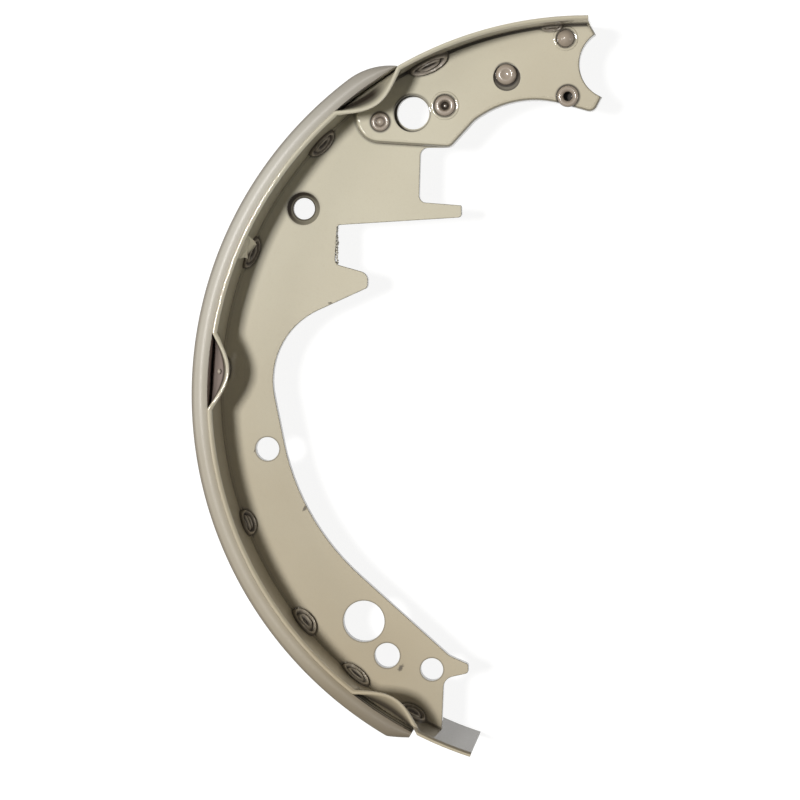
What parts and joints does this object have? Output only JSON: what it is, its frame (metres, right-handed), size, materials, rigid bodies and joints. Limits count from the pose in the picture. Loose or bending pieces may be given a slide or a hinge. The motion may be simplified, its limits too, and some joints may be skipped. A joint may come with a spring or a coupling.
{
  "type": "brake shoe",
  "caption": "Crescent drum brake shoe: bonded lining on a curved table with pressed nibs, welded web with lever arm and hook, riveted end plate with a round anchor notch.",
  "frame": {"origin": "on the brake drum's axis, level with the plain edge of the table that the shoe rests on", "axes": "+Z along the drum's axis, from the plain edge to the edge with the nibs; +Y along the shoe's length, from the toe to the anchor notch; +X from the lining towards the drum's axis"},
  "size_m": [0.1613, 0.29, 0.06],
  "materials": {
    "painted_steel": "satin beige paint",
    "rivet_steel": "satin grey-brown paint over the rivets",
    "weld_steel": "satin grey-brown paint over the weld beads",
    "lining": "painted over in the same satin beige as the shoe"
  },
  "bodies": {
    "root": {"shoe_table": "painted_steel", "lining": "lining", "web": "painted_steel", "end_plate": "painted_steel", "corner_rivet": "rivet_steel", "recessed_rivet": "rivet_steel", "button_rivet": "rivet_steel", "dome_rivet": "rivet_steel", "tubular_rivet": "rivet_steel", "weld_front_1": "weld_steel", "weld_front_2": "weld_steel", "weld_front_3": "weld_steel", "weld_front_4": "weld_steel", "weld_front_5": "weld_steel", "weld_front_6": "weld_steel", "weld_front_7": "weld_steel", "weld_front_8": "weld_steel", "weld_front_9": "weld_steel", "weld_rear_1": "weld_steel", "weld_rear_2": "weld_steel", "weld_rear_3": "weld_steel", "weld_rear_4": "weld_steel", "weld_rear_5": "weld_steel", "weld_rear_6": "weld_steel", "weld_rear_7": "weld_steel", "weld_rear_8": "weld_steel", "weld_rear_9": "weld_steel"}
  },
  "joints": []
}
